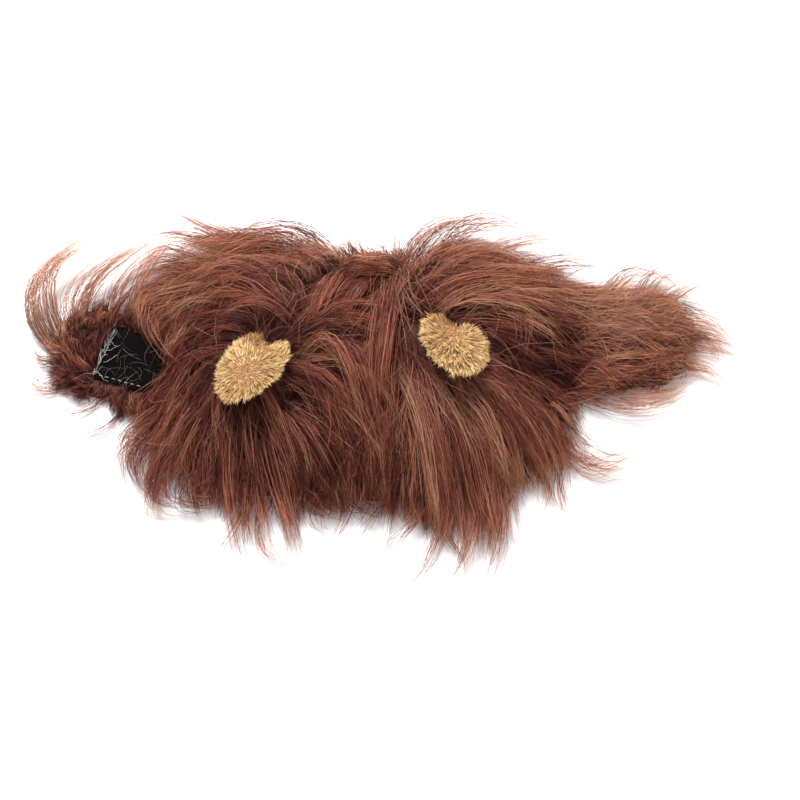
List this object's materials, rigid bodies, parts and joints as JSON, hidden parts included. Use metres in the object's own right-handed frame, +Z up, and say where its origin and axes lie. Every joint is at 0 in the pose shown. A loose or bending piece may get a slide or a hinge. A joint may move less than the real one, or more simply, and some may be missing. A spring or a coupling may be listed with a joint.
{
  "type": "pet costume hat",
  "caption": "Long-fur mane hat for a cat or small dog: hollow crown, chin straps that close with hook and loop tape, and stuffed plush ears, lying flat.",
  "frame": {"origin": "on the table, under the middle of the whole hat as it lies", "axes": "+X from the hook-tape strap to the loop-tape strap, +Y towards the face edge, +Z up"},
  "size_m": [0.3278, 0.1796, 0.0607],
  "materials": {
    "fur_brown": "glossy long-pile faux fur",
    "cloth_brown": "matt knitted backing cloth",
    "ear_gold": "short-pile plush",
    "hook_tape_black": "woven tape with nylon hooks",
    "loop_tape_black": "brushed nylon loop tape"
  },
  "bodies": {
    "root": {"crown_cloth": "cloth_brown", "hook_strap": "cloth_brown", "loop_strap": "cloth_brown", "hook_tape": "hook_tape_black", "loop_tape": "loop_tape_black", "mane_fur": "fur_brown", "ear_left": "ear_gold", "ear_right": "ear_gold"}
  },
  "joints": []
}
